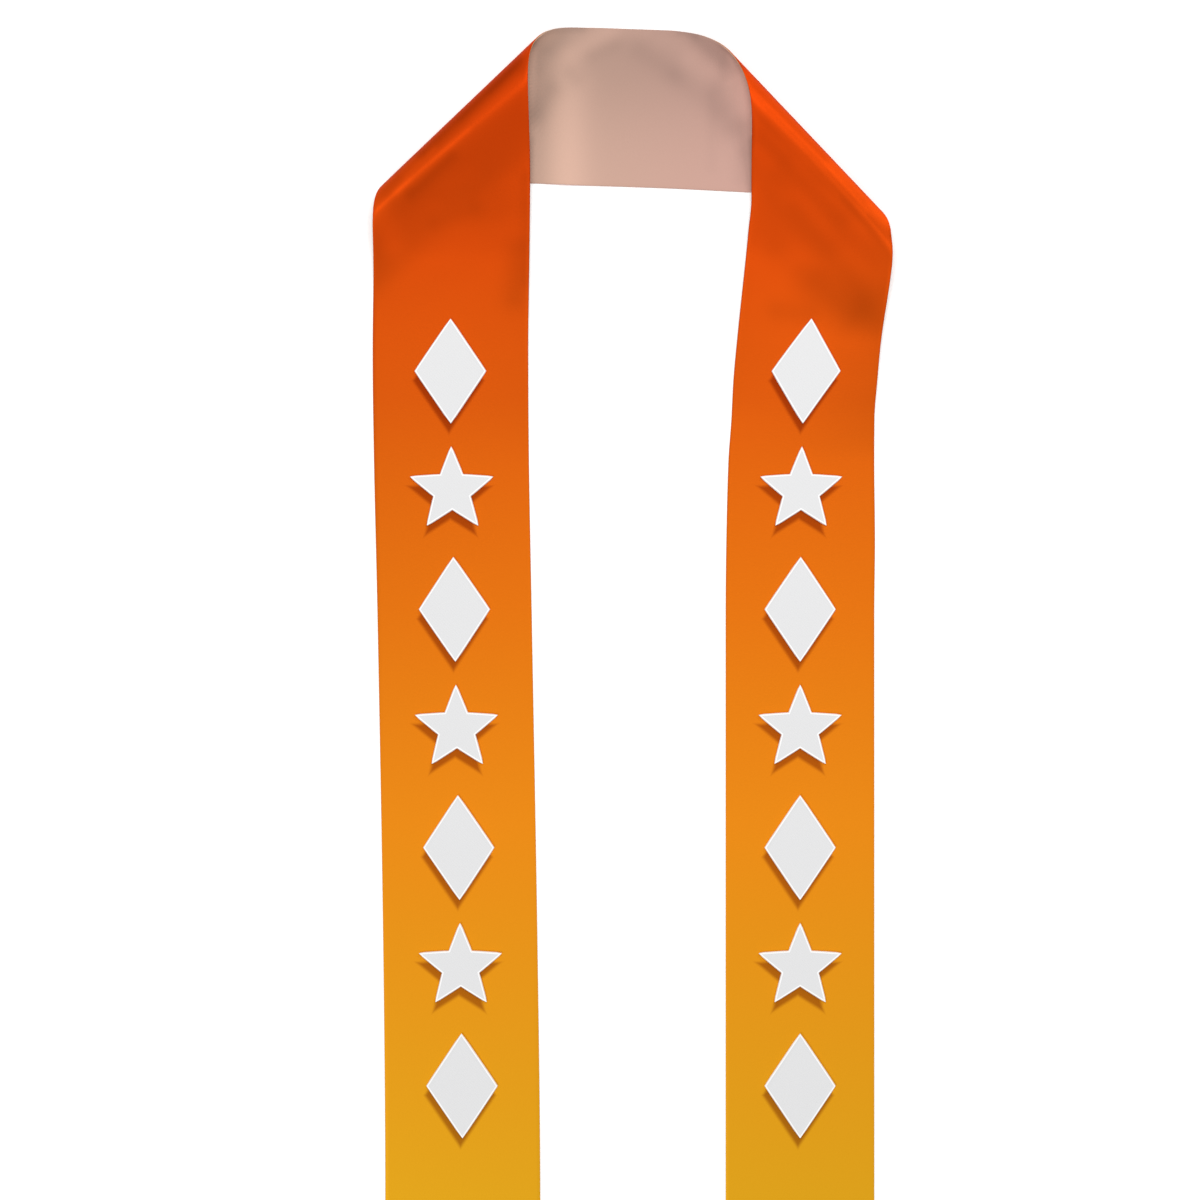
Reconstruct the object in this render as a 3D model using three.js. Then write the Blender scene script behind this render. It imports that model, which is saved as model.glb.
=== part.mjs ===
// A stole of printed satin, laid flat on a surface and seen from above: one long strip of cloth that runs
// up the left panel, turns over at the left shoulder, crosses behind the neck with its plain reverse up,
// turns over again at the right shoulder and runs down the right panel. A row of raised shapes is fixed
// to each panel. Millimetres. +X is to the viewer's right, +Y runs from the free ends to the neck and
// +Z is up. The origin is on the surface, under the middle of the stole's outer box.
import * as THREE from 'three';

// The cloth: its thickness, and half its width on each stretch.
const CLOTH_THICKNESS = 1.2;
const HALF_WIDTH = { leftPanel: 55, neckBand: 56, rightPanel: 53 };
const FREE_END_Y = -419;

// The two shoulder folds. x and y give the point where the strip's centre line passes over the outermost
// line of the fold, the nose, and turn is the angle of that line. excess is the cloth that the rounds
// below and above the nose take up beyond their reach. At the neck end and at the outer end of the fold,
// under and over are the reaches of those rounds, nose and crest are heights of the middle of the cloth,
// crestAt is how far inwards the crest is, and landing is the length of the slope beyond it.
const SHOULDERS = {
  left: {
    mirror: 1, x: -120.5, y: 359.5, turn: 43.7, excess: { under: 12, over: 11 },
    neckEnd: { under: 18, over: 20, nose: 8, crest: 18, crestAt: 17, landing: 80 },
    outerEnd: { under: 18, over: 20, nose: 8, crest: 17, crestAt: 10, landing: 65 },
  },
  right: {
    mirror: -1, x: 122.5, y: 345, turn: 46.5, excess: { under: 16.5, over: 22 },
    neckEnd: { under: 25, over: 32, nose: 10, crest: 17, crestAt: 10, landing: 80 },
    outerEnd: { under: 25, over: 26, nose: 10, crest: 15.5, crestAt: 8, landing: 70 },
  },
};
const FOLD_HALF_LENGTH = 80;
const SLOPE_STEEPNESS = 5;

// Lengths over which the cloth passes smoothly from one rule to the next: its width past each nose, the
// two folds' places in the middle of the neck band, and a panel's shifts and lifts from the nose inwards.
const BLEND = { width: 70, neckMiddle: 50, panelShift: 24, panelLift: 50 };

// How each panel wanders from a straight line, by height up the stole: inner and outer are sideways
// shifts of its two long edges, and innerLift and outerLift are how far those edges stand off the
// surface, beside the slope that comes down from the fold.
const LEFT_PANEL = [
  { y: -420, inner: 8.5, outer: 8.5, innerLift: 0, outerLift: 0 },
  { y: -230, inner: 6.5, outer: 7, innerLift: 0, outerLift: 0 },
  { y: 0, inner: 2.5, outer: 3, innerLift: 0, outerLift: 0 },
  { y: 110, inner: 0.5, outer: 0.5, innerLift: 0, outerLift: 0 },
  { y: 190, inner: 0, outer: -0.5, innerLift: 1.6, outerLift: 0 },
  { y: 263, inner: 1, outer: 0.5, innerLift: 3.4, outerLift: 0.4 },
  { y: 313, inner: 1.5, outer: 1, innerLift: 3, outerLift: 0.8 },
  { y: 393, inner: 0, outer: 0, innerLift: 1.5, outerLift: 0.8 },
];
const RIGHT_PANEL = [
  { y: -420, inner: -18.5, outer: -19, innerLift: 0, outerLift: 0 },
  { y: 0, inner: -18.5, outer: -19, innerLift: 0, outerLift: 0 },
  { y: 56, inner: -18, outer: -18.5, innerLift: 0, outerLift: 0 },
  { y: 113, inner: -16.5, outer: -19, innerLift: 0, outerLift: 0 },
  { y: 141, inner: -14.5, outer: -19, innerLift: 0, outerLift: 1.2 },
  { y: 170, inner: -13, outer: -17, innerLift: 0.4, outerLift: 3.4 },
  { y: 198, inner: -10.5, outer: -14.5, innerLift: 1.2, outerLift: 5 },
  { y: 227, inner: -7.5, outer: -10.5, innerLift: 2, outerLift: 4.8 },
  { y: 255, inner: -4.5, outer: -7, innerLift: 2.6, outerLift: 3.2 },
  { y: 276, inner: -2.5, outer: -4.5, innerLift: 2.6, outerLift: 2 },
  { y: 298, inner: -0.5, outer: -3, innerLift: 2.4, outerLift: 1 },
  { y: 333, inner: -0.5, outer: 0, innerLift: 1.6, outerLift: 0.6 },
];

// The panels lie on the neck band's two ends: they ride this much higher there, and come down to the
// surface over a short stretch below the band.
const LAYER_STEP = 2.4;
const STEP_TOP_Y = 309;
const STEP_FOOT_Y = 255;

// The raised shapes: lozenges and stars in turn up each panel, the first one's middle measured from its
// free end. A second ring of corners, a share of the outline's size, lets each shape follow the cloth.
const SHAPES_ON_EACH_PANEL = 7;
const FIRST_SHAPE = 88;
const SHAPE_PITCH = 84.5;
const SHAPE_THICKNESS = 2;
const SHAPE_GAP = 0.4;
const INNER_RING = 0.5;
const LOZENGE = { halfWidth: 25, halfLength: 37, pointsOnASide: 3 };
const STAR = { points: 5, tip: 31, notch: 13.6 };

// How finely the cloth is divided: cells across, and their length along each stretch. The stretches are
// measured from the noses. Within leanFrom of a nose the rows of cells begin to lean.
const CELLS_ACROSS = 10;
const CELL_LENGTH = { panel: 40, upperPanel: 13, fold: 3.4, neck: 14 };
const STRETCH = { leanFrom: 330, upperPanel: 280, foldOnPanel: 62, foldOnNeck: 42 };

const SATIN = new THREE.MeshStandardMaterial({ color: 0xd9620f, roughness: 0.42, metalness: 0 });
const WHITE_TWILL = new THREE.MeshStandardMaterial({ color: 0xebebeb, roughness: 0.7, metalness: 0 });

const { clamp, degToRad, lerp, smoothstep } = THREE.MathUtils;

// A smooth value from a table's column, between its rows by a cubic and level beyond its ends.
function tableValue(table, y, column) {
  const place = clamp(y, table[0].y, table[table.length - 1].y);
  let low = 0;
  while (low < table.length - 2 && table[low + 1].y <= place) low += 1;
  const rise = (i) => table[i + 1][column] - table[i][column];
  const slopeAt = (i) => {
    if (i === 0 || i === table.length - 1 || rise(i - 1) * rise(i) <= 0) return 0;
    return (table[i + 1][column] - table[i - 1][column]) / (table[i + 1].y - table[i - 1].y);
  };
  const span = table[low + 1].y - table[low].y;
  const u = (place - table[low].y) / span;
  return (2 * u ** 3 - 3 * u ** 2 + 1) * table[low][column]
    + (u ** 3 - 2 * u ** 2 + u) * span * slopeAt(low)
    + (3 * u ** 2 - 2 * u ** 3) * table[low + 1][column]
    + (u ** 3 - u ** 2) * span * slopeAt(low + 1);
}

// How far in from the nose the cloth is, at a length of flat cloth from it. It leaves the nose upright, and
// runs straight on once its round has taken up the excess.
function inwardsAt(flatLength, reach, excess) {
  const flat = reach + excess;
  if (flatLength >= flat) return flatLength - excess;
  const u = flatLength / flat;
  const fourth = 3 - (2 * flat) / reach;
  const third = -(1 + 5 * fourth) / 2;
  const second = 1.5 * (1 + fourth);
  return reach * (second * u ** 2 + third * u ** 3 + fourth * u ** 4);
}

// A quarter of a circle that rises upright from 0 and is level at 1.
function quarterRound(share) {
  return Math.sqrt(1 - (1 - clamp(share, 0, 1)) ** 2);
}

// Heights of the middle of the cloth in a fold: of the upper layer, which goes up from the nose to the
// crest and down a slope with a long foot, and of the lower one, which goes down to the surface.
function heightOver(inwards, { nose, crest, crestAt, landing }) {
  if (inwards < crestAt) return nose + (crest - nose) * quarterRound(inwards / crestAt);
  const down = clamp((inwards - crestAt) / landing, 0, 1);
  return crest * (1 - down) ** SLOPE_STEEPNESS * (1 + SLOPE_STEEPNESS * down);
}
function heightUnder(inwards, { nose, under }) {
  return nose * (1 - quarterRound(inwards / under));
}

function readyShoulder(shoulder) {
  const angle = degToRad(shoulder.turn);
  return { ...shoulder, sin: Math.sin(angle), cos: Math.cos(angle) };
}
const LEFT = readyShoulder(SHOULDERS.left);
const RIGHT = readyShoulder(SHOULDERS.right);

// A fold's sizes part of the way from its outer end to its neck end.
function sizesAt({ outerEnd, neckEnd }, share) {
  const blended = Object.keys(outerEnd).map((name) => [name, lerp(outerEnd[name], neckEnd[name], share)]);
  return Object.fromEntries(blended);
}

// Where the flat neck band leaves a fold, the length of a panel from its free end to the nose, and the
// length of the neck band between the two noses, all along the strip's centre line.
function neckEndPoint({ mirror, x, y, sin, cos, excess }) {
  return new THREE.Vector2(x - mirror * excess.under * sin, y + excess.under * cos);
}
function panelLength({ y, cos, excess }) {
  return y + excess.over * cos - FREE_END_Y;
}
const LEFT_NOSE_AT = panelLength(LEFT);
const NECK_LENGTH = neckEndPoint(LEFT).distanceTo(neckEndPoint(RIGHT));
const RIGHT_NOSE_AT = LEFT_NOSE_AT + NECK_LENGTH;
const STRIP_LENGTH = RIGHT_NOSE_AT + panelLength(RIGHT);
const NECK_MIDDLE_AT = LEFT_NOSE_AT + NECK_LENGTH / 2;

// The middle of the cloth near one shoulder, for a flat point that is ahead of the nose along the strip,
// on the neck's side when positive, and across it, outer edge positive.
function foldedPoint(shoulder, ahead, across) {
  const { mirror, x, y, sin, cos, excess } = shoulder;
  const alongNose = ahead * sin - across * cos;
  const fromNose = -ahead * cos - across * sin;
  const size = sizesAt(shoulder, smoothstep(alongNose, -FOLD_HALF_LENGTH, FOLD_HALF_LENGTH));
  const isOver = fromNose >= 0;
  const inwards = isOver
    ? inwardsAt(fromNose, size.over, excess.over)
    : inwardsAt(-fromNose, size.under, excess.under);
  const point = new THREE.Vector3(
    x + mirror * (alongNose * cos + inwards * sin),
    y + alongNose * sin - inwards * cos,
    isOver ? heightOver(inwards, size) : heightUnder(inwards, size),
  );
  return { point, fromNose };
}

// Moves a panel's point by its wander and its lifts, once the cloth has passed over the fold's nose.
function layOnPanel({ point, fromNose }, table, across, halfWidth) {
  const shifted = smoothstep(fromNose, 0, BLEND.panelShift);
  const lifted = smoothstep(fromNose, 0, BLEND.panelLift);
  const outerShare = (across / halfWidth + 1) / 2;
  const { y } = point;
  const shift = lerp(tableValue(table, y, 'inner'), tableValue(table, y, 'outer'), outerShare);
  const lift = tableValue(table, y, 'innerLift') * (1 - outerShare) ** 2
    + tableValue(table, y, 'outerLift') * outerShare ** 2;
  const layerStep = LAYER_STEP * smoothstep(y, STEP_FOOT_Y, STEP_TOP_Y);
  point.x += shifted * shift;
  point.z += lifted * (lift + layerStep);
}

function halfWidthAt(along) {
  const { leftPanel, neckBand, rightPanel } = HALF_WIDTH;
  const shareOfNext = (nose) => smoothstep(along, nose - BLEND.width, nose + BLEND.width);
  const upToNeck = lerp(leftPanel, neckBand, shareOfNext(LEFT_NOSE_AT));
  return lerp(upToNeck, rightPanel, shareOfNext(RIGHT_NOSE_AT));
}

// The middle of the cloth at a flat point: along the strip from the left free end, and across it.
function clothMiddle(along, across) {
  const halfWidth = halfWidthAt(along);
  const left = foldedPoint(LEFT, along - LEFT_NOSE_AT, across);
  const right = foldedPoint(RIGHT, RIGHT_NOSE_AT - along, across);
  const fromMiddle = along - NECK_MIDDLE_AT;
  const rightShare = smoothstep(fromMiddle, -BLEND.neckMiddle, BLEND.neckMiddle);
  if (fromMiddle < 0) layOnPanel(left, LEFT_PANEL, across, halfWidth);
  if (fromMiddle > 0) layOnPanel(right, RIGHT_PANEL, across, halfWidth);
  const middle = left.point.lerp(right.point, rightShare);
  middle.z += CLOTH_THICKNESS / 2;
  return middle;
}

// A point off the middle of the cloth, towards its printed side when above is positive.
function clothPoint(along, across, above) {
  const step = 0.5;
  const lengthways = clothMiddle(along + step, across).sub(clothMiddle(along - step, across));
  const crossways = clothMiddle(along, across + step).sub(clothMiddle(along, across - step));
  const normal = lengthways.cross(crossways).normalize();
  return clothMiddle(along, across).addScaledVector(normal, above);
}

// A closed body from a grid of points on its outer side, row by row, and the same grid on its inner side,
// with walls all round between the two.
function slab(outerRows, innerRows, name, material) {
  const rowCount = outerRows.length;
  const columnCount = outerRows[0].length;
  const positions = [...outerRows.flat(), ...innerRows.flat()].flatMap((p) => p.toArray());
  const outer = (i, j) => i * columnCount + j;
  const inner = (i, j) => rowCount * columnCount + outer(i, j);
  const triangles = [];
  const quad = (a, b, c, d) => triangles.push(a, b, c, a, c, d);
  for (let i = 0; i + 1 < rowCount; i += 1) {
    for (let j = 0; j + 1 < columnCount; j += 1) {
      quad(outer(i, j), outer(i + 1, j), outer(i + 1, j + 1), outer(i, j + 1));
      quad(inner(i, j), inner(i, j + 1), inner(i + 1, j + 1), inner(i + 1, j));
    }
    quad(outer(i, 0), inner(i, 0), inner(i + 1, 0), outer(i + 1, 0));
    const last = columnCount - 1;
    quad(outer(i, last), outer(i + 1, last), inner(i + 1, last), inner(i, last));
  }
  for (let j = 0; j + 1 < columnCount; j += 1) {
    const last = rowCount - 1;
    quad(outer(0, j), outer(0, j + 1), inner(0, j + 1), inner(0, j));
    quad(outer(last, j), inner(last, j), inner(last, j + 1), outer(last, j + 1));
  }
  return bodyFrom(positions, triangles, name, material);
}

function bodyFrom(positions, triangles, name, material) {
  const geometry = new THREE.BufferGeometry();
  geometry.setAttribute('position', new THREE.Float32BufferAttribute(positions, 3));
  geometry.setIndex(triangles);
  geometry.computeVertexNormals();
  const mesh = new THREE.Mesh(geometry, material);
  mesh.name = name;
  return mesh;
}

// Stations along the strip's centre line, closer together on the folds.
function stationsAlong() {
  const stops = [
    { at: 0, cell: CELL_LENGTH.panel },
    { at: LEFT_NOSE_AT - STRETCH.upperPanel, cell: CELL_LENGTH.upperPanel },
    { at: LEFT_NOSE_AT - STRETCH.foldOnPanel, cell: CELL_LENGTH.fold },
    { at: LEFT_NOSE_AT + STRETCH.foldOnNeck, cell: CELL_LENGTH.neck },
    { at: RIGHT_NOSE_AT - STRETCH.foldOnNeck, cell: CELL_LENGTH.fold },
    { at: RIGHT_NOSE_AT + STRETCH.foldOnPanel, cell: CELL_LENGTH.upperPanel },
    { at: RIGHT_NOSE_AT + STRETCH.upperPanel, cell: CELL_LENGTH.panel },
    { at: STRIP_LENGTH },
  ];
  const stations = [];
  for (let i = 0; i + 1 < stops.length; i += 1) {
    const length = stops[i + 1].at - stops[i].at;
    const count = Math.round(length / stops[i].cell);
    for (let k = 0; k < count; k += 1) stations.push(stops[i].at + (length * k) / count);
  }
  return [...stations, STRIP_LENGTH];
}

// How far a row of cells leans back along the strip for each millimetre across it: not at all at the free
// ends, parallel to the nose on each fold, and passing from one lean to the other along the neck.
function leanAt(along) {
  const { leanFrom, foldOnPanel, foldOnNeck } = STRETCH;
  const shareOfLean = (ahead) => clamp((ahead + leanFrom) / (leanFrom - foldOnPanel), 0, 1);
  const leftLean = (LEFT.sin / LEFT.cos) * shareOfLean(along - LEFT_NOSE_AT);
  const rightLean = -(RIGHT.sin / RIGHT.cos) * shareOfLean(RIGHT_NOSE_AT - along);
  const pastLeftFold = along - LEFT_NOSE_AT - foldOnNeck;
  return lerp(leftLean, rightLean, clamp(pastLeftFold / (NECK_LENGTH - 2 * foldOnNeck), 0, 1));
}

function makeStrip() {
  const gridOn = (above) => stationsAlong().map((station) => {
    const lean = leanAt(station);
    return Array.from({ length: CELLS_ACROSS + 1 }, (_, j) => {
      const across = halfWidthAt(station) * ((2 * j) / CELLS_ACROSS - 1);
      return clothPoint(station - lean * across, across, above);
    });
  });
  return slab(gridOn(CLOTH_THICKNESS / 2), gridOn(-CLOTH_THICKNESS / 2), 'satin_strip', SATIN);
}

// Outlines of the raised shapes about their own centres, x across the strip and y along it.
function lozengeOutline() {
  const { halfWidth, halfLength, pointsOnASide } = LOZENGE;
  const corners = [[halfWidth, 0], [0, halfLength], [-halfWidth, 0], [0, -halfLength]];
  return corners.flatMap((corner, i) => {
    const next = corners[(i + 1) % corners.length];
    return Array.from({ length: pointsOnASide }, (_, k) => new THREE.Vector2(
      lerp(corner[0], next[0], k / pointsOnASide),
      lerp(corner[1], next[1], k / pointsOnASide),
    ));
  });
}

function starOutline(up) {
  return Array.from({ length: 2 * STAR.points }, (_, k) => {
    const radius = k % 2 === 0 ? STAR.tip : STAR.notch;
    const angle = up * Math.PI / 2 + (k * Math.PI) / STAR.points;
    return new THREE.Vector2(radius * Math.cos(angle), radius * Math.sin(angle));
  });
}

// A raised shape that follows the cloth: its outline and a smaller ring of points round its centre, on
// its face and on its back.
function raisedShape(outline, along, name) {
  const count = outline.length;
  const rings = [1, INNER_RING];
  const levels = [SHAPE_THICKNESS, 0].map((height) => CLOTH_THICKNESS / 2 + SHAPE_GAP + height);
  const positions = levels.flatMap((above) => [
    ...rings.flatMap((size) => outline.map((p) => clothPoint(along + p.y * size, p.x * size, above))),
    clothPoint(along, 0, above),
  ]).flatMap((p) => p.toArray());
  const sidePoints = rings.length * count + 1;
  const triangles = [];
  const facing = (a, b, c, back) => (back ? triangles.push(a, c, b) : triangles.push(a, b, c));
  for (let k = 0; k < count; k += 1) {
    const next = (k + 1) % count;
    for (const back of [false, true]) {
      const start = back ? sidePoints : 0;
      facing(start + k, start + count + k, start + next, back);
      facing(start + next, start + count + k, start + count + next, back);
      facing(start + count + k, start + 2 * count, start + count + next, back);
    }
    triangles.push(k, next, sidePoints + next, k, sidePoints + next, sidePoints + k);
  }
  return bodyFrom(positions, triangles, name, WHITE_TWILL);
}

// A panel's shapes, from the free end up. The strip runs up the left panel and down the right one.
function makeShapes(side) {
  const isLeft = side === 'left';
  return Array.from({ length: SHAPES_ON_EACH_PANEL }, (_, k) => {
    const fromEnd = FIRST_SHAPE + k * SHAPE_PITCH;
    const along = isLeft ? fromEnd : STRIP_LENGTH - fromEnd;
    const isLozenge = k % 2 === 0;
    const outline = isLozenge ? lozengeOutline() : starOutline(isLeft ? 1 : -1);
    return raisedShape(outline, along, `${side}_${isLozenge ? 'lozenge' : 'star'}_${k + 1}`);
  });
}

const stole = new THREE.Group();
stole.add(makeStrip(), ...makeShapes('left'), ...makeShapes('right'));
export default stole;
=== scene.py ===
import math

import bpy
import numpy as np
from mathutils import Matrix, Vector


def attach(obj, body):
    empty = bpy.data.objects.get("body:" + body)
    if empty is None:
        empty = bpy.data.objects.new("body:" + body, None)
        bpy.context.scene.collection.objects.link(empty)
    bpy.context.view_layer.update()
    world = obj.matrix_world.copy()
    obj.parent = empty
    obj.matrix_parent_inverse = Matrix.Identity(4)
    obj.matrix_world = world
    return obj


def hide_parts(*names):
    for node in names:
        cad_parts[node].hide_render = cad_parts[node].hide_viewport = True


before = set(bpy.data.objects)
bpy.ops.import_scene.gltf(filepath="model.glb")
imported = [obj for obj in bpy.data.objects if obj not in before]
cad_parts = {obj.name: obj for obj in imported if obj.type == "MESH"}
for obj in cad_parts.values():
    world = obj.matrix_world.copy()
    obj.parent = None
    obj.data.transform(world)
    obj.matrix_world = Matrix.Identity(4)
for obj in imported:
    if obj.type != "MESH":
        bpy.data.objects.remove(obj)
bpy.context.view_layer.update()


# The surface that the stole lies on: a plain white board, matt, faintly lit from within and much
# larger than the stole. It isn't part of the object.
BOARD_SIZE = 6.0
BOARD_WHITE = (0.97, 0.97, 0.97, 1.0)
BOARD_FINISH = {
    "Base Color": BOARD_WHITE,
    "Roughness": 0.9,
    "Specular IOR Level": 0.1,
    "Emission Color": BOARD_WHITE,
    "Emission Strength": 0.10,
}


def new_material(name, finish):
    """A material with this finish: the inputs of its surface, by name."""
    material = bpy.data.materials.new(name)
    material.use_nodes = True
    surface = material.node_tree.nodes["Principled BSDF"]
    for socket, value in finish.items():
        surface.inputs[socket].default_value = value
    return material


bpy.ops.object.select_all(action="DESELECT")
bpy.ops.mesh.primitive_plane_add(size=BOARD_SIZE, location=(0, 0, 0))
board = bpy.context.object
board.name = "white_board"
board.data.materials.append(new_material("matt_white_board", BOARD_FINISH))


# The strip: one length of satin about 1.83 m long and 110 mm wide, cut straight, with nothing sewn
# to its edges. It runs up the left panel, turns over at the left shoulder, crosses behind the neck
# with its reverse up, turns over at the right shoulder and runs down the right panel.
CLOTH_THICKNESS = 0.0012
HALF_WIDTH = {"left_panel": 0.055, "neck_band": 0.056, "right_panel": 0.053}
FREE_END_Y = -0.419

# x and y are where the centre line passes over the nose, the outermost line of a fold, and turn is
# the angle of that line in degrees. excess is the cloth that the rounds below and above the nose
# take up beyond their reach. At each end of the fold, under and over are the reaches of those
# rounds, nose and crest are heights, crest_at is how far inwards the crest is, and landing is the
# length of the slope beyond it.
SHOULDERS = {
    "left": {
        "mirror": 1, "x": -0.1205, "y": 0.3595, "turn": 43.7,
        "excess": {"under": 0.012, "over": 0.011},
        "neck_end": {
            "under": 0.018, "over": 0.020,
            "nose": 0.008, "crest": 0.018, "crest_at": 0.017, "landing": 0.080,
        },
        "outer_end": {
            "under": 0.018, "over": 0.020,
            "nose": 0.008, "crest": 0.017, "crest_at": 0.010, "landing": 0.065,
        },
    },
    "right": {
        "mirror": -1, "x": 0.1225, "y": 0.3450, "turn": 46.5,
        "excess": {"under": 0.0165, "over": 0.022},
        "neck_end": {
            "under": 0.025, "over": 0.032,
            "nose": 0.010, "crest": 0.017, "crest_at": 0.010, "landing": 0.080,
        },
        "outer_end": {
            "under": 0.025, "over": 0.026,
            "nose": 0.010, "crest": 0.0155, "crest_at": 0.008, "landing": 0.070,
        },
    },
}

# Half the length of each fold's nose, over which its sizes pass from one end's to the other's, and
# how soon the slope beyond the crest falls.
FOLD_HALF_LENGTH = 0.080
SLOPE_STEEPNESS = 5

# The lengths over which one stretch of the cloth passes into the next: its width at the noses, the
# two halves of the neck band, and, from the nose on, a panel's shifts, lifts, and creases with
# their painted light and shade.
BLEND = {
    "width": 0.070,
    "neck_middle": 0.050,
    "panel_shift": 0.024,
    "panel_lift": 0.050,
    "crease_and_shade_strokes": 0.006,
}

# How each panel wanders: by height up the stole, the sideways shifts of its inner and outer edges,
# and how far those edges stand off the board. Beside the folds the panel lies on the neck band's
# cloth, and from there it steps down to the board.
PANEL_COLUMNS = ("y", "inner", "outer", "inner_lift", "outer_lift")
LEFT_PANEL = (
    (-0.420, 0.0085, 0.0085, 0, 0),
    (-0.230, 0.0065, 0.0070, 0, 0),
    (0, 0.0025, 0.0030, 0, 0),
    (0.110, 0.0005, 0.0005, 0, 0),
    (0.190, 0, -0.0005, 0.0016, 0),
    (0.263, 0.0010, 0.0005, 0.0034, 0.0004),
    (0.313, 0.0015, 0.0010, 0.0030, 0.0008),
    (0.393, 0, 0, 0.0015, 0.0008),
)
RIGHT_PANEL = (
    (-0.420, -0.0185, -0.0190, 0, 0),
    (0, -0.0185, -0.0190, 0, 0),
    (0.056, -0.0180, -0.0185, 0, 0),
    (0.113, -0.0165, -0.0190, 0, 0),
    (0.141, -0.0145, -0.0190, 0, 0.0012),
    (0.170, -0.0130, -0.0170, 0.0004, 0.0034),
    (0.198, -0.0105, -0.0145, 0.0012, 0.0050),
    (0.227, -0.0075, -0.0105, 0.0020, 0.0048),
    (0.255, -0.0045, -0.0070, 0.0026, 0.0032),
    (0.276, -0.0025, -0.0045, 0.0026, 0.0020),
    (0.298, -0.0005, -0.0030, 0.0024, 0.0010),
    (0.333, -0.0005, 0, 0.0016, 0.0006),
)
LAYER_STEP = 0.0024
STEP_TOP_Y = 0.309
STEP_FOOT_Y = 0.255

# Painted highlights and painted shade, a few with a soft crease under them, each a stroke between
# two
# places in plan: how wide it is, how much lighter or darker the cloth is painted along it, and how
# high it stands.
CREASE_AND_SHADE_COLUMNS = ("x1", "y1", "x2", "y2", "width", "tone", "rise")
NECK_CREASES_AND_PAINTED_SHADING = (
    (-0.040, 0.408, 0.030, 0.408, 0.062, -0.27, 0),
    (-0.050, 0.384, -0.050, 0.394, 0.007, 0.05, 0),
    (-0.045, 0.378, -0.045, 0.305, 0.015, 0.20, 0.0008),
    (-0.042, 0.401, -0.018, 0.416, 0.009, 0.16, 0.0006),
    (-0.028, 0.401, -0.012, 0.408, 0.006, -0.07, 0),
    (-0.044, 0.386, -0.040, 0.382, 0.006, -0.09, 0),
    (-0.060, 0.4185, -0.034, 0.4195, 0.003, -0.13, 0),
    (-0.063, 0.402, -0.063, 0.392, 0.009, -0.09, 0),
    (-0.0705, 0.402, -0.0725, 0.345, 0.0035, 0.23, 0),
    (-0.058, 0.404, -0.050, 0.411, 0.006, -0.07, 0),
    (-0.067, 0.356, -0.067, 0.310, 0.010, -0.12, 0),
    (-0.070, 0.358, -0.057, 0.377, 0.009, -0.20, 0),
    (-0.008, 0.418, 0.010, 0.417, 0.006, 0.06, 0),
    (0.034, 0.4175, 0.045, 0.415, 0.003, -0.13, 0),
    (0.022, 0.411, 0.045, 0.404, 0.008, 0.05, 0),
    (0.041, 0.396, 0.056, 0.389, 0.008, 0.07, 0),
    (0.072, 0.380, 0.078, 0.362, 0.008, 0.18, 0.0003),
    (0.0645, 0.392, 0.0660, 0.385, 0.004, -0.06, 0),
    (0.0705, 0.399, 0.0780, 0.389, 0.003, 0.15, 0),
    (0.0800, 0.384, 0.0865, 0.345, 0.004, 0.30, 0),
    (0.047, 0.411, 0.064, 0.397, 0.006, -0.13, 0),
    (0.006, 0.403, 0.031, 0.386, 0.008, -0.06, 0),
    (0.031, 0.386, 0.060, 0.360, 0.008, -0.05, 0),
    (0.062, 0.374, 0.069, 0.350, 0.010, -0.12, 0),
    (0.057, 0.372, 0.057, 0.320, 0.004, -0.03, 0),
    (0.079, 0.330, 0.079, 0.312, 0.006, -0.08, 0),
)
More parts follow.
